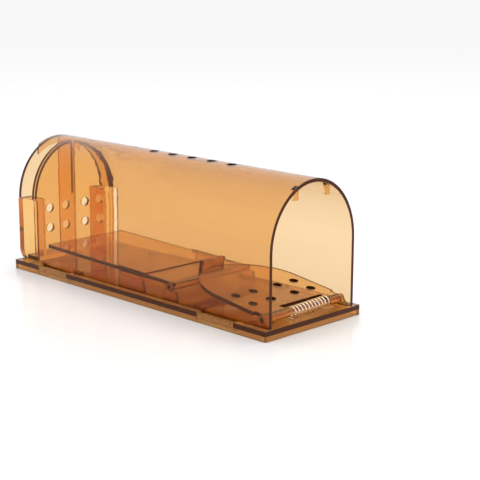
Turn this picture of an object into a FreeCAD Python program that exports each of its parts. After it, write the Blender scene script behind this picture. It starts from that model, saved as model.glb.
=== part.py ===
import FreeCAD, Part

import math
import os

# Live catch trap: an arched see-through tunnel on a flat tray, with a sprung trapdoor at the
# entrance (+X), a see-saw pedal behind it that holds the door down by a hook, and a pull-off
# bait cap at the rear (-X).  Millimetres, +Z up, origin under the middle of the tray.
# The trap is modelled set: door lying open under the hook, pedal up.

V = FreeCAD.Vector

# ---- driving dimensions -------------------------------------------------------------------
BASE_LENGTH = 175.0
BASE_WIDTH = 60.0
BASE_HEIGHT = 4.6
FLOOR_THICKNESS = 2.2
SKIRT_THICKNESS = 1.4
FLOOR_UNDER_Z = BASE_HEIGHT - FLOOR_THICKNESS

SHELL_HALF_WIDTH = 26.7
SHELL_WALL = 1.6
SHELL_FRONT_X = 86.3
SHELL_REAR_X = -87.4
CUTOUT_FRONT_X = -72.8        # front edge of the shell's two finger cut-outs
ARCH_SPRING_Z = 35.6
ARCH_RISE = 29.3
ARCH_TOP_Z = ARCH_SPRING_Z + ARCH_RISE

PLAY = 0.3                    # between pieces that move past each other
BORE_PLAY = 0.05              # radial clearance of a pin in its running bore

DOOR_AXIS = V(81.0, 0.0, 7.4)
DOOR_SET_ANGLE = 7.8          # degrees, how far the open door slopes up to its tip
DOOR_HALF_WIDTH = 24.8
DOOR_STRAIGHT = 27.2
DOOR_TIP_LENGTH = 27.2
DOOR_THICKNESS = 1.7
DOOR_TOP = 2.0                # top face above the hinge axis

PEDAL_AXIS = V(23.3, 0.0, 10.5)
PEDAL_SET_ANGLE = 1.3
PEDAL_HALF_WIDTH = 23.4
PEDAL_REAR = 90.6             # from the pivot back to the rear edge
PEDAL_FRONT = 3.0
PEDAL_THICKNESS = 1.7
PEDAL_TOP = 2.15              # top face above the pivot axis

PIN_RADIUS = 1.2
BARREL_RADIUS = 2.0
EAR_RADIUS = 2.1
EAR_INNER_Y = 23.7            # inner faces of all the ears that stand on the tray
EAR_OUTER_Y = 24.9

CAP_REAR_X = -88.7            # fin and lip, which stand proud of the shell
CAP_LIP = 1.0
CAP_WALL = 1.5
CAP_RIM = 2.9                 # depth of the end wall's rim
CAP_END_X = -75.0             # front face of the perforated end wall
GRIP_REAR_X = -88.1
GRIP_FRONT_X = -84.3
GRIP_TOP_Z = 36.0             # top of the finger cut-outs
GRIP_INNER_Y = 18.6

SLOT_MIN_X = 46.0             # tray slots that take the shell's snap tabs, from the middle
SLOT_MAX_X = 68.4
TAB_PLAY = 0.5                # between a tab and each end of its slot
TAB_BOTTOM_Z = 1.0
LOCATOR_RISE = 1.1            # small blocks on the tray that keep the shell's walls in place
LOCATOR_PLAY = 0.3
LOCATOR_MIN_X = 39.8
LOCATOR_REAR_X = -70.7

SPRING_MEAN_RADIUS = 2.3
SPRING_WIRE = 0.55
SPRING_MIN_Y = -8.4
SPRING_MAX_Y = 14.9
SPRING_TURNS = 11.05
SPRING_NEAR_Z = 7.25          # height of the coil's middle at its two ends: it leans on the pin
SPRING_FAR_Z = 8.05
SPRING_FLOOR_LEG = 4.5
SPRING_DOOR_LEG = 8.8
DOOR_WINDOW_MIN_Y = -10.6     # the door's window for the spring
DOOR_WINDOW_MAX_Y = 15.8
DOOR_WINDOW_REAR = -4.5       # from the hinge axis

AIR_HOLE_DIAMETER = 4.6
CROWN_HOLES = 5
CROWN_HOLE_PITCH = 13.0
CROWN_HOLES_X = 11.4          # middle one
CAP_HOLES_Y = (-16.0, -6.1, 6.1, 16.0)
CAP_HOLES_Z = (21.0, 31.0)
DOOR_HOLE_DIAMETER = 4.2
DOOR_HOLES_X = (-12.2, -22.6)
DOOR_HOLES_Y = (-18.0, -7.3, 7.3, 18.0)


# ---- small helpers ------------------------------------------------------------------------
def block(x0, x1, y0, y1, z0, z1):
    """A box between two corners."""
    return Part.makeBox(x1 - x0, y1 - y0, z1 - z0, V(x0, y0, z0))


def mirrored(shape, across=V(0, 1, 0)):
    """The shape and its mirror image across a middle plane: left and right unless told otherwise."""
    return [shape, shape.mirror(V(0, 0, 0), across)]


def at_four_corners(shape):
    """The shape and its images at the other three corners of the trap."""
    front_and_rear = mirrored(shape, V(1, 0, 0))
    return mirrored(front_and_rear[0]) + mirrored(front_and_rear[1])


def joined(shapes):
    """Fuse touching shapes into one clean solid."""
    result = shapes[0].multiFuse(shapes[1:]) if len(shapes) > 1 else shapes[0]
    return result.removeSplitter()


def arch_solid(half_width, rise, bottom, x0, x1):
    """A tunnel-shaped block along X: straight sides, then half an ellipse on top."""
    spring_left = V(x0, -half_width, ARCH_SPRING_Z)
    spring_right = V(x0, half_width, ARCH_SPRING_Z)
    ellipse = Part.Ellipse(V(x0, 0, ARCH_SPRING_Z + rise), spring_right, V(x0, 0, ARCH_SPRING_Z))
    crown = Part.ArcOfEllipse(ellipse, -0.5 * math.pi, 0.5 * math.pi).toShape()
    edges = [
        Part.makeLine(V(x0, -half_width, bottom), spring_left),
        crown,
        Part.makeLine(spring_right, V(x0, half_width, bottom)),
        Part.makeLine(V(x0, half_width, bottom), V(x0, -half_width, bottom)),
    ]
    outline = Part.Wire(Part.__sortEdges__(edges))
    return Part.Face(outline).extrude(V(x1 - x0, 0, 0))


def side_plate(points, y0, y1):
    """A plate between y0 and y1 whose outline is given as (x, z) points."""
    corners = [V(x, y0, z) for x, z in points]
    return Part.Face(Part.makePolygon(corners + corners[:1])).extrude(V(0, y1 - y0, 0))


def rod(radius, y0, y1, x=0.0, z=0.0):
    """A round bar across the trap."""
    return Part.makeCylinder(radius, y1 - y0, V(x, y0, z), V(0, 1, 0))


def at_axis(shape, axis, angle):
    """Place a piece that is drawn about its own hinge axis, raised at its rear by angle."""
    placed = shape.copy()
    placed.rotate(V(0, 0, 0), V(0, 1, 0), angle)
    placed.translate(axis)
    return placed


# ---- the pieces ---------------------------------------------------------------------------
def pin_ear(outline, axis):
    """An upright on the tray, with an eye that holds one end of a pin."""
    plate = side_plate(outline, EAR_INNER_Y, EAR_OUTER_Y)
    eye = rod(EAR_RADIUS, EAR_INNER_Y, EAR_OUTER_Y, axis.x, axis.z)
    hole = rod(PIN_RADIUS, EAR_INNER_Y - 1, EAR_OUTER_Y + 1, axis.x, axis.z)
    return plate.fuse(eye).cut(hole)


def door_ear():
    """Gabled ear for the door's pin."""
    foot_half = 4.4
    foot_top_z = BASE_HEIGHT + 0.4
    x = DOOR_AXIS.x
    z = DOOR_AXIS.z
    outline = [
        (x - foot_half, FLOOR_UNDER_Z), (x - foot_half, foot_top_z), (x - EAR_RADIUS, z),
        (x + EAR_RADIUS, z), (x + foot_half, foot_top_z), (x + foot_half, FLOOR_UNDER_Z),
    ]
    return pin_ear(outline, DOOR_AXIS)


def pedal_ear():
    """Squat tapered ear for the pedal's pin."""
    x = PEDAL_AXIS.x
    shoulder_z = PEDAL_AXIS.z - 1.7
    outline = [
        (x - 4.2, FLOOR_UNDER_Z), (x - 3.9, shoulder_z), (x + 4.6, shoulder_z), (x + 5.8, FLOOR_UNDER_Z),
    ]
    return pin_ear(outline, PEDAL_AXIS)


def guide():
    """A tapered upright beside the pedal that keeps it in line."""
    top_z = 10.4
    outline = [(-12.4, FLOOR_UNDER_Z), (-11.2, top_z), (5.0, top_z), (7.0, FLOOR_UNDER_Z)]
    return side_plate(outline, EAR_INNER_Y, EAR_OUTER_Y)


def locator(x0, x1):
    """A low block on the tray, just inside one of the shell's walls."""
    top_z = BASE_HEIGHT + LOCATOR_RISE
    return block(x0, x1, EAR_INNER_Y - 0.6, EAR_OUTER_Y, FLOOR_UNDER_Z, top_z)


def base_tray():
    """Flat floor with a thin skirt, slots for the shell's tabs, and the standing ears."""
    half_x = 0.5 * BASE_LENGTH
    half_y = 0.5 * BASE_WIDTH
    inner_x = half_x - SKIRT_THICKNESS
    inner_y = half_y - SKIRT_THICKNESS
    tray = block(-half_x, half_x, -half_y, half_y, 0, BASE_HEIGHT)
    tray = tray.cut(block(-inner_x, inner_x, -inner_y, inner_y, -1, FLOOR_UNDER_Z))

    slot_inner_y = SHELL_HALF_WIDTH - SHELL_WALL - 0.2
    slot = block(SLOT_MIN_X, SLOT_MAX_X, slot_inner_y, inner_y, 0, BASE_HEIGHT + 1)
    tray = tray.cut(Part.makeCompound(at_four_corners(slot)))

    rib_width = 1.2
    rib_bottom = FLOOR_UNDER_Z - 1.6
    extras = []
    for rib_x in (SLOT_MIN_X - rib_width, SLOT_MAX_X):
        rib = block(rib_x, rib_x + rib_width, -inner_y, inner_y, rib_bottom, FLOOR_UNDER_Z)
        extras += mirrored(rib, V(1, 0, 0))
    extras += at_four_corners(locator(LOCATOR_MIN_X, SLOT_MIN_X - LOCATOR_PLAY))
    for upright in (door_ear(), pedal_ear(), guide(), locator(LOCATOR_REAR_X, -SLOT_MAX_X - LOCATOR_PLAY)):
        extras += mirrored(upright)
    return joined([tray] + extras)


def curved_corner(corner_x, corner_z, width, height):
    """What a cut-out's lower corner loses beyond its straight edge: a wedge with one curved side."""
    radius = (height * height + width * width) / (2 * width)
    angle = 0.5 * math.asin(height / radius)
    middle = V(corner_x + radius * (1 - math.cos(angle)), 0, corner_z + height - radius * math.sin(angle))
    top = V(corner_x, 0, corner_z + height)
    foot = V(corner_x + width, 0, corner_z)
    edges = [
        Part.Arc(top, middle, foot).toShape(),
        Part.makeLine(foot, V(corner_x, 0, corner_z)),
        Part.makeLine(V(corner_x, 0, corner_z), top),
    ]
    return Part.Face(Part.Wire(edges))


def tunnel_shell():
    """Arched cover: finger cut-outs at the rear, air holes on the crown, tabs below."""
    outer = arch_solid(SHELL_HALF_WIDTH, ARCH_RISE, BASE_HEIGHT, SHELL_REAR_X, SHELL_FRONT_X)
    inner = arch_solid(
        SHELL_HALF_WIDTH - SHELL_WALL, ARCH_RISE - SHELL_WALL, BASE_HEIGHT - 1,
        SHELL_REAR_X - 1, SHELL_FRONT_X + 1,
    )
    shell = outer.cut(inner)

    reach = SHELL_HALF_WIDTH + 1
    cuts = [block(SHELL_REAR_X - 1, CUTOUT_FRONT_X, -reach, reach, 0, GRIP_TOP_Z)]
    corner = curved_corner(CUTOUT_FRONT_X, BASE_HEIGHT, 2.2, 3.8)
    corner.translate(V(0, -reach, 0))
    cuts.append(corner.extrude(V(0, 2 * reach, 0)))
    for index in range(CROWN_HOLES):
        hole_x = CROWN_HOLES_X + CROWN_HOLE_PITCH * (index - CROWN_HOLES // 2)
        cuts.append(Part.makeCylinder(0.5 * AIR_HOLE_DIAMETER, 10, V(hole_x, 0, ARCH_TOP_Z - 5)))
    for cutter in cuts:
        shell = shell.cut(cutter)

    inner_y = SHELL_HALF_WIDTH - SHELL_WALL
    tab_x0 = SLOT_MIN_X + TAB_PLAY
    tab_x1 = SLOT_MAX_X - TAB_PLAY
    tab = block(tab_x0, tab_x1, inner_y, SHELL_HALF_WIDTH, TAB_BOTTOM_Z, BASE_HEIGHT + 0.5)
    barb_inset = 5.0
    barb_depth = 0.8
    barb = block(tab_x0 + barb_inset, tab_x1 - barb_inset, inner_y - barb_depth, inner_y, 1.2, 2.2)
    door_stop = block(83.5, 85.3, 8.6, 11.2, 56.6, ARCH_TOP_Z).common(outer)
    return joined([shell] + at_four_corners(tab.fuse(barb)) + mirrored(door_stop))


def rear_cap():
    """Bait cap: a rimmed, perforated end wall, two grip columns, a fin to pull on and a stop lip."""
    gap = 0.25
    bottom = BASE_HEIGHT + PLAY
    rail_top = bottom + 1.9
    half_width = SHELL_HALF_WIDTH - SHELL_WALL - gap
    rise = ARCH_RISE - SHELL_WALL - gap
    rim_x = CAP_END_X - CAP_RIM
    wall_x = CAP_END_X - CAP_WALL

    end_wall = arch_solid(half_width, rise, bottom, rim_x, CAP_END_X)
    recess = arch_solid(half_width - CAP_WALL, rise - CAP_WALL, rail_top, rim_x - 1, wall_x)
    end_wall = end_wall.cut(recess)

    fin_half = 0.75
    room = arch_solid(half_width, rise, bottom, CAP_REAR_X - 1, CAP_END_X)
    fin = block(CAP_REAR_X, wall_x + 0.5, -fin_half, fin_half, 0, 80).common(room)
    rail = block(GRIP_REAR_X, wall_x + 0.5, -half_width, half_width, bottom, rail_top)
    pieces = [end_wall, fin, rail]

    top = GRIP_TOP_Z - PLAY
    corner = curved_corner(-SHELL_HALF_WIDTH, bottom, 1.8, 5.6)
    corner.rotate(V(0, 0, 0), V(0, 0, 1), 90)
    corner = corner.extrude(V(GRIP_FRONT_X - GRIP_REAR_X, 0, 0))
    corner.translate(V(GRIP_REAR_X, 0, 0))
    column = block(GRIP_REAR_X, GRIP_FRONT_X, -SHELL_HALF_WIDTH, -GRIP_INNER_Y, bottom, top).cut(corner)
    inner_wall = block(GRIP_REAR_X, wall_x + 0.5, -GRIP_INNER_Y - CAP_WALL, -GRIP_INNER_Y, bottom, top)
    pieces += mirrored(column.fuse(inner_wall))

    lip_half = 13.0
    lip_depth = 4.5
    lip = arch_solid(SHELL_HALF_WIDTH, ARCH_RISE, bottom, CAP_REAR_X, CAP_REAR_X + CAP_LIP)
    lip = lip.cut(arch_solid(
        SHELL_HALF_WIDTH - lip_depth, ARCH_RISE - lip_depth, 0, CAP_REAR_X - 1, CAP_REAR_X + CAP_LIP + 1
    ))
    lip = lip.common(block(CAP_REAR_X - 1, CAP_REAR_X + CAP_LIP + 1, -lip_half, lip_half, ARCH_SPRING_Z, 80))
    pieces.append(lip)

    body = joined(pieces)
    for y in CAP_HOLES_Y:
        for z in CAP_HOLES_Z:
            foot = V(wall_x - 1, y, z)
            hole = Part.makeCylinder(0.5 * AIR_HOLE_DIAMETER, CAP_WALL + 2, foot, V(1, 0, 0))
            body = body.cut(hole)
    return body.removeSplitter()


def trap_door():
    """Round-ended flap with air holes, split hinge barrel and a window for the spring."""
    bottom = DOOR_TOP - DOOR_THICKNESS
    ear_clear_x = -5.2
    narrow = EAR_INNER_Y - PLAY
    straight = block(-DOOR_STRAIGHT, ear_clear_x, -DOOR_HALF_WIDTH, DOOR_HALF_WIDTH, bottom, DOOR_TOP)
    root = block(ear_clear_x, 0, -narrow, narrow, bottom, DOOR_TOP)
    ellipse = Part.Ellipse(
        V(-DOOR_STRAIGHT - DOOR_TIP_LENGTH, 0, bottom), V(-DOOR_STRAIGHT, -DOOR_HALF_WIDTH, bottom),
        V(-DOOR_STRAIGHT, 0, bottom),
    )
    rounded = Part.ArcOfEllipse(ellipse, -0.5 * math.pi, 0.5 * math.pi).toShape()
    closing = Part.makeLine(
        V(-DOOR_STRAIGHT, -DOOR_HALF_WIDTH, bottom), V(-DOOR_STRAIGHT, DOOR_HALF_WIDTH, bottom)
    )
    outline = Part.Wire(Part.__sortEdges__([rounded, closing]))
    tip = Part.Face(outline).extrude(V(0, 0, DOOR_THICKNESS))
    barrel = rod(BARREL_RADIUS, -narrow, narrow)
    door = joined([straight, root, tip, barrel])

    cuts = [rod(PIN_RADIUS + BORE_PLAY, -30, 30)]
    cuts.append(block(DOOR_WINDOW_REAR, 5, DOOR_WINDOW_MIN_Y, DOOR_WINDOW_MAX_Y, -5, 5))
    for x in DOOR_HOLES_X:
        for y in DOOR_HOLES_Y:
            cuts.append(Part.makeCylinder(0.5 * DOOR_HOLE_DIAMETER, 6, V(x, y, -2)))
    return at_axis(door.cut(Part.makeCompound(cuts)), DOOR_AXIS, DOOR_SET_ANGLE)


def pedal():
    """See-saw plate: pivot barrel at its front, raised pad, side skirts and the door's hook."""
    bottom = PEDAL_TOP - PEDAL_THICKNESS
    plate = block(-PEDAL_REAR, PEDAL_FRONT, -PEDAL_HALF_WIDTH, PEDAL_HALF_WIDTH, bottom, PEDAL_TOP)
    barrel = rod(BARREL_RADIUS, -PEDAL_HALF_WIDTH, PEDAL_HALF_WIDTH)
    pad_top = PEDAL_TOP + 0.55
    pad = side_plate(
        [(-36.8, PEDAL_TOP), (-36.6, pad_top), (-17.4, pad_top), (-17.4, PEDAL_TOP)],
        -PEDAL_HALF_WIDTH,
        PEDAL_HALF_WIDTH,
    )
    skirt_thickness = 1.5
    skirt = side_plate(
        [
            (-35.5, bottom), (-34.6, bottom - 1.1), (-17.6, bottom - 1.6), (-13.0, bottom - 1.5),
            (-6.5, bottom),
        ],
        PEDAL_HALF_WIDTH - skirt_thickness,
        PEDAL_HALF_WIDTH,
    )
    hook_half_width = 6.8
    hook = side_plate(
        [(0.0, PEDAL_TOP), (1.0, 9.6), (3.4, 9.6), (3.4, 7.9), (2.6, 7.4), (2.4, PEDAL_TOP)],
        -hook_half_width,
        hook_half_width,
    )
    body = joined([plate, barrel, pad, hook] + mirrored(skirt))
    bore = rod(PIN_RADIUS + BORE_PLAY, -30, 30)
    return at_axis(body.cut(bore), PEDAL_AXIS, PEDAL_SET_ANGLE)


def pin(axis):
    """A plain moulded pin, held at both ends in the tray's ears."""
    return rod(PIN_RADIUS, -EAR_OUTER_Y, EAR_OUTER_Y, axis.x, axis.z)


def door_spring():
    """Torsion spring that leans on the door's pin: one leg on the floor, one under the door."""
    wire = 0.5 * SPRING_WIRE
    length = SPRING_MAX_Y - SPRING_MIN_Y
    pitch = length / SPRING_TURNS
    start = V(SPRING_MEAN_RADIUS, 0, 0)
    start_way = V(0, 2 * math.pi * SPRING_MEAN_RADIUS, pitch)
    profile = Part.Wire(Part.makeCircle(wire, start, start_way))
    helix = Part.Wire(Part.makeHelix(pitch, length, SPRING_MEAN_RADIUS))
    coil = helix.makePipeShell([profile], True, True)
    floor_leg = Part.makeCylinder(wire, SPRING_FLOOR_LEG, start, -start_way)
    turn = FreeCAD.Rotation(V(0, 0, 1), 360.0 * (SPRING_TURNS % 1.0))
    end = turn.multVec(start) + V(0, 0, length)
    door_leg = Part.makeCylinder(wire, SPRING_DOOR_LEG, end, turn.multVec(start_way))
    spring = joined([coil, floor_leg, door_leg])
    spring.rotate(V(0, 0, 0), V(0, 0, 1), 90)
    spring.rotate(V(0, 0, 0), V(1, 0, 0), -90)
    lean = math.degrees(math.atan2(SPRING_FAR_Z - SPRING_NEAR_Z, length))
    spring.rotate(V(0, 0, 0), V(1, 0, 0), lean)
    spring.translate(V(DOOR_AXIS.x, SPRING_MIN_Y, SPRING_NEAR_Z))
    return spring


def save(node, shape):
    """Write one node's STEP file and print what it holds."""
    shape.exportStep(os.path.join("parts", node + ".step"))
    box = shape.BoundBox
    print("%-14s solids %d valid %s volume %.0f  x %.1f..%.1f y %.1f..%.1f z %.1f..%.1f" % (
        node, len(shape.Solids), shape.isValid(), shape.Volume,
        box.XMin, box.XMax, box.YMin, box.YMax, box.ZMin, box.ZMax))


os.makedirs("parts", exist_ok=True)
save("base_tray", base_tray())
save("tunnel_shell", tunnel_shell())
save("rear_cap", rear_cap())
save("trap_door", trap_door())
save("door_pin", pin(DOOR_AXIS))
save("door_spring", door_spring())
save("trip_pedal", pedal())
save("pedal_pin", pin(PEDAL_AXIS))
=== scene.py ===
import math
from functools import reduce

import bpy
from mathutils import Matrix, Vector

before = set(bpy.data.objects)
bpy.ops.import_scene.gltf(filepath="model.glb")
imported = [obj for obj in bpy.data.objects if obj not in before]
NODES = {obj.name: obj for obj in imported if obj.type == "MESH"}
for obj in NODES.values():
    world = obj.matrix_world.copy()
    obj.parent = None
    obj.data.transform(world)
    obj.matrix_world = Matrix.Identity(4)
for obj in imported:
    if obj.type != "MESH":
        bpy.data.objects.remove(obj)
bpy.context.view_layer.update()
MM = 0.001

# ---- camera: where it looks from, and what it looks at --------------------------------------
AZIMUTH = math.radians(44.95)
ELEVATION = math.radians(12.99)
ROLL = math.radians(0.24)
DISTANCE = 0.605
AIM_RIGHT = 0.0301            # the aim point, right of and above the trap's origin in the view
AIM_UP = 0.0237
LENS = 95.56

LIGHT_BOUNCES = 24            # a ray through the trap crosses many clear walls

# ---- the amber plastic: what a metre of it takes out of red, green and blue light ------------
AMBER_ABSORPTION = (80.0, 262.0, 560.0)
PLASTIC_IOR = 1.5
SHEEN_TINT = (0.35, 0.16, 0.08, 1.0)    # keeps the white room's reflection off the amber
CLEAR = (1.0, 1.0, 1.0, 1.0)
HAZY_AMBER = (0.97, 0.68, 0.32, 1.0)
TRAY_AMBER = (0.97, 0.56, 0.19, 1.0)
# painted shade: the dark brown put on narrow faces and a few bands, standing in for the shade of
# light that crosses the plastic lengthwise
EDGE_PAINTED_SHADE = (0.075, 0.018, 0.005, 1.0)
EDGE_SHADE_CLEARNESS = 0.25         # how much a face with painted edge shade still lets through
FACES_ALONG = 0.7             # least part of a face's normal along the axis it looks along


# faces of each piece painted dark as shade, mostly narrow faces and a few bands: the axis they look
# along, or any, and where they are (in mm)
FLOOR_PLATE_Z = (2.4, 4.7)
# painted shade: bands on the tray's outer sides and ends at the floor plate's height, broken at the
# slots
TRAY_SHADE_RULES = (
    ("Y", {"X": (-90, -68.4), "Z": FLOOR_PLATE_Z}),
    ("Y", {"X": (-46, 46), "Z": FLOOR_PLATE_Z}),
    ("Y", {"X": (68.4, 90), "Z": FLOOR_PLATE_Z}),
    ("X", {"X": (87, 90), "Z": FLOOR_PLATE_Z}),
    ("X", {"X": (-90, -87), "Z": FLOOR_PLATE_Z}),
)
# painted shade on the shell: its rims and lower edges, the walls of the crown's holes, and a band at
# its rear end
SHELL_SHADE_RULES = (
    ("X", {"X": (-90, 82)}),
    ("X", {"X": (86, 90)}),
    ("Z", {"Z": (0, 36.5)}),
    ("Y", {"Z": (62.5, 70)}),
    ("any", {"X": (-90, -86.5)}),
)
CAP_SHADE_RULES = (
    ("X", {"X": (-78.1, -77.7), "Z": (36, 70)}),
    ("any", {"X": (-78.1, -77.2), "Z": (36, 70)}),
    ("Z", {"Z": (34, 36.5)}),
)
DOOR_SHADE_RULES = (("X", {"X": (0, 78)}), ("Y", {"X": (0, 78)}))
PEDAL_SHADE_RULES = (("X", {"X": (-90, 21)}), ("Y", {"Z": (11.3, 30)}))


def add_camera():
    """Camera at the photograph's viewing angle."""
    back = Vector((
        math.sin(AZIMUTH) * math.cos(ELEVATION),
        -math.cos(AZIMUTH) * math.cos(ELEVATION),
        math.sin(ELEVATION),
    ))
    right = Vector((math.cos(AZIMUTH), math.sin(AZIMUTH), 0))
    up = back.cross(right)
    place = right * AIM_RIGHT + up * AIM_UP + back * DISTANCE
    turn = Matrix((right, up, back)).transposed() @ Matrix.Rotation(ROLL, 3, "Z")
    data = bpy.data.cameras.new("camera")
    data.lens = LENS
    data.clip_start = 0.01
    camera = bpy.data.objects.new("camera", data)
    camera.matrix_world = Matrix.Translation(place) @ turn.to_4x4()
    bpy.context.scene.collection.objects.link(camera)
    bpy.context.scene.camera = camera


# ---- node helpers -----------------------------------------------------------------------------
def new_material(name):
    """A material with only an output and a Principled shader."""
    material = bpy.data.materials.new(name)
    material.use_nodes = True
    nodes = material.node_tree.nodes
    nodes.clear()
    output = nodes.new("ShaderNodeOutputMaterial")
    shader = nodes.new("ShaderNodeBsdfPrincipled")
    material.node_tree.links.new(shader.outputs["BSDF"], output.inputs["Surface"])
    return material, shader, output


def add_node(material, kind, **values):
    """A node whose sockets are set by name."""
    node = material.node_tree.nodes.new(kind)
    for name, value in values.items():
        node.inputs[name.replace("_", " ")].default_value = value
    return node


def link(material, source, target):
    material.node_tree.links.new(source, target)


def moulded_surface(material, shader, waviness, roughness):
    """Slow waves of a moulded face in the bump, and fine handling wear in the roughness."""
    place = add_node(material, "ShaderNodeTexCoord").outputs["Object"]
    waves = add_node(material, "ShaderNodeTexNoise", Scale=55.0, Detail=1.0)
    link(material, place, waves.inputs["Vector"])
    bump = add_node(material, "ShaderNodeBump", Strength=waviness, Distance=0.0004)
    link(material, waves.outputs["Fac"], bump.inputs["Height"])
    link(material, bump.outputs["Normal"], shader.inputs["Normal"])
    wear = add_node(material, "ShaderNodeTexNoise", Scale=900.0, Detail=4.0)
    link(material, place, wear.inputs["Vector"])
    spread = add_node(material, "ShaderNodeMapRange", From_Min=0.35, From_Max=0.75,
                      To_Min=roughness[0], To_Max=roughness[1])
    link(material, wear.outputs["Fac"], spread.inputs["Value"])
    link(material, spread.outputs["Result"], shader.inputs["Roughness"])


def math_node(material, operation, *values):
    """The result of a math node. A value is a number, or a socket to link."""
    node = material.node_tree.nodes.new("ShaderNodeMath")
    node.operation = operation
    for target, value in zip(node.inputs, values):
        if isinstance(value, float):
            target.default_value = value
        else:
            link(material, value, target)
    return node.outputs[0]


def between(material, value, low, high):
    """1 where a value lies between two limits, else 0."""
    above = math_node(material, "GREATER_THAN", value, low)
    below = math_node(material, "LESS_THAN", value, high)
    return math_node(material, "MULTIPLY", above, below)


def edge_shade_mask(material, rules):
    """Where edge shade is painted: 1 on the faces and bands that a rule picks, else 0."""
    place = add_node(material, "ShaderNodeTexCoord")
    facing = add_node(material, "ShaderNodeSeparateXYZ")
    link(material, place.outputs["Normal"], facing.inputs[0])
    where = add_node(material, "ShaderNodeSeparateXYZ")
    link(material, place.outputs["Object"], where.inputs[0])
    masks = []
    for facing_axis, limits in rules:
        parts = [between(material, where.outputs[axis], low * MM, high * MM)
                 for axis, (low, high) in limits.items()]
        if facing_axis != "any":
            size = math_node(material, "ABSOLUTE", facing.outputs[facing_axis])
            parts.append(math_node(material, "GREATER_THAN", size, FACES_ALONG))
        masks.append(reduce(lambda one, two: math_node(material, "MULTIPLY", one, two), parts))
    return reduce(lambda one, two: math_node(material, "MAXIMUM", one, two), masks)


def switch(material, mask, shader, socket, plain, edge):
    """Drive a shader's socket: one colour off the mask and another on it."""
    mix = material.node_tree.nodes.new("ShaderNodeMix")
    mix.data_type = "RGBA"
    link(material, mask, mix.inputs["Factor"])
    off, on = [end for end in mix.inputs if end.type == "RGBA"]
    off.default_value = plain
    on.default_value = edge
    result = [end for end in mix.outputs if end.type == "RGBA"][0]
    link(material, result, shader.inputs[socket])


def amber_plastic(name, shade_rules=(), strength=1.0, color=CLEAR, haze=0.0, shade_clearness=EDGE_SHADE_CLEARNESS):
    """Clear moulded plastic, amber right through, with painted shade on its narrow faces.

    strength scales the amber in its depth, color tints its surface, haze is the share of light that
    it scatters, and the shade clearness is how much a face with painted edge shade lets through.
    """
    material, shader, output = new_material(name)
    shader.inputs["Base Color"].default_value = color
    shader.inputs["Transmission Weight"].default_value = 1.0 - haze
    shader.inputs["IOR"].default_value = PLASTIC_IOR
    shader.inputs["Specular Tint"].default_value = SHEEN_TINT
    most = max(AMBER_ABSORPTION)
    volume = add_node(material, "ShaderNodeVolumeAbsorption")
    volume.inputs["Color"].default_value = [1.0 - part / most for part in AMBER_ABSORPTION] + [1.0]
    volume.inputs["Density"].default_value = most * strength
    link(material, volume.outputs["Volume"], output.inputs["Volume"])
    moulded_surface(material, shader, 0.15, (0.01, 0.05))
    # painted shade: faces that the rules pick get dark brown and less transmission, for the shade of
    # light crossing the plastic lengthwise
    if shade_rules:
        mask = edge_shade_mask(material, shade_rules)
        switch(material, mask, shader, "Base Color", color, EDGE_PAINTED_SHADE)
        switch(material, mask, shader, "Transmission Weight", (1.0 - haze,) * 4, (shade_clearness,) * 4)
    return material


def drawn_wire(name):
    """Bright drawn spring wire with fine draw lines."""
    material, shader, _ = new_material(name)
    shader.inputs["Base Color"].default_value = (0.96, 0.91, 0.83, 1.0)
    shader.inputs["Metallic"].default_value = 1.0
    moulded_surface(material, shader, 0.1, (0.18, 0.34))
    return material


def paint(node, material):
    """Give a CAD node one material."""
    data = NODES[node].data
    data.materials.clear()
    data.materials.append(material)


# ---- floor and light ----------------------------------------------------------------------------
def add_floor():
    """Pale glossy table that runs far past the picture."""
    half = 6.0
    data = bpy.data.meshes.new("floor")
    data.from_pydata([(-half, -half, 0), (half, -half, 0), (half, half, 0), (-half, half, 0)], [],
                     [(0, 1, 2, 3)])
    floor = bpy.data.objects.new("floor", data)
    bpy.context.scene.collection.objects.link(floor)
    material, shader, _ = new_material("floor_white")
    shader.inputs["Base Color"].default_value = (0.86, 0.86, 0.865, 1.0)
    shader.inputs["Roughness"].default_value = 0.22
    shader.inputs["Specular IOR Level"].default_value = 0.35
    data.materials.append(material)


def add_area_light(name, place, aim, size, power):
    """A square soft light that faces a point."""
    data = bpy.data.lights.new(name, "AREA")
    data.size = size
    data.energy = power
    light = bpy.data.objects.new(name, data)
    light.location = place
    light.rotation_euler = (Vector(aim) - Vector(place)).to_track_quat("-Z", "Y").to_euler()
    bpy.context.scene.collection.objects.link(light)


def add_light():
    """A white room, and one large soft light overhead."""
    world = bpy.data.worlds.new("room")
    world.use_nodes = True
    world.node_tree.nodes["Background"].inputs["Color"].default_value = (1.0, 1.0, 1.0, 1.0)
    world.node_tree.nodes["Background"].inputs["Strength"].default_value = 1.0
    bpy.context.scene.world = world
    add_area_light("overhead", (0.0, 0.1, 0.9), (0.0, 0.0, 0.0), 0.7, 4.0)
    bpy.context.scene.view_settings.view_transform = "Standard"
    bpy.context.scene.cycles.max_bounces = LIGHT_BOUNCES
    bpy.context.scene.cycles.transmission_bounces = LIGHT_BOUNCES


add_camera()
add_floor()
add_light()
for node, material in {
    "base_tray": amber_plastic("tray_amber", TRAY_SHADE_RULES, 0.05, TRAY_AMBER, haze=0.18, shade_clearness=0.3),
    "tunnel_shell": amber_plastic("shell_amber", SHELL_SHADE_RULES),
    "rear_cap": amber_plastic("cap_amber", CAP_SHADE_RULES, 0.18, HAZY_AMBER, haze=0.05),
    "trap_door": amber_plastic("door_amber", DOOR_SHADE_RULES, 0.15, HAZY_AMBER, haze=0.06),
    "trip_pedal": amber_plastic("pedal_amber", PEDAL_SHADE_RULES, 0.18, HAZY_AMBER, haze=0.06),
    "door_spring": drawn_wire("spring_wire"),
    "door_pin": amber_plastic("door_pin_amber", strength=0.7),
    "pedal_pin": amber_plastic("pedal_pin_amber", strength=0.7),
}.items():
    paint(node, material)
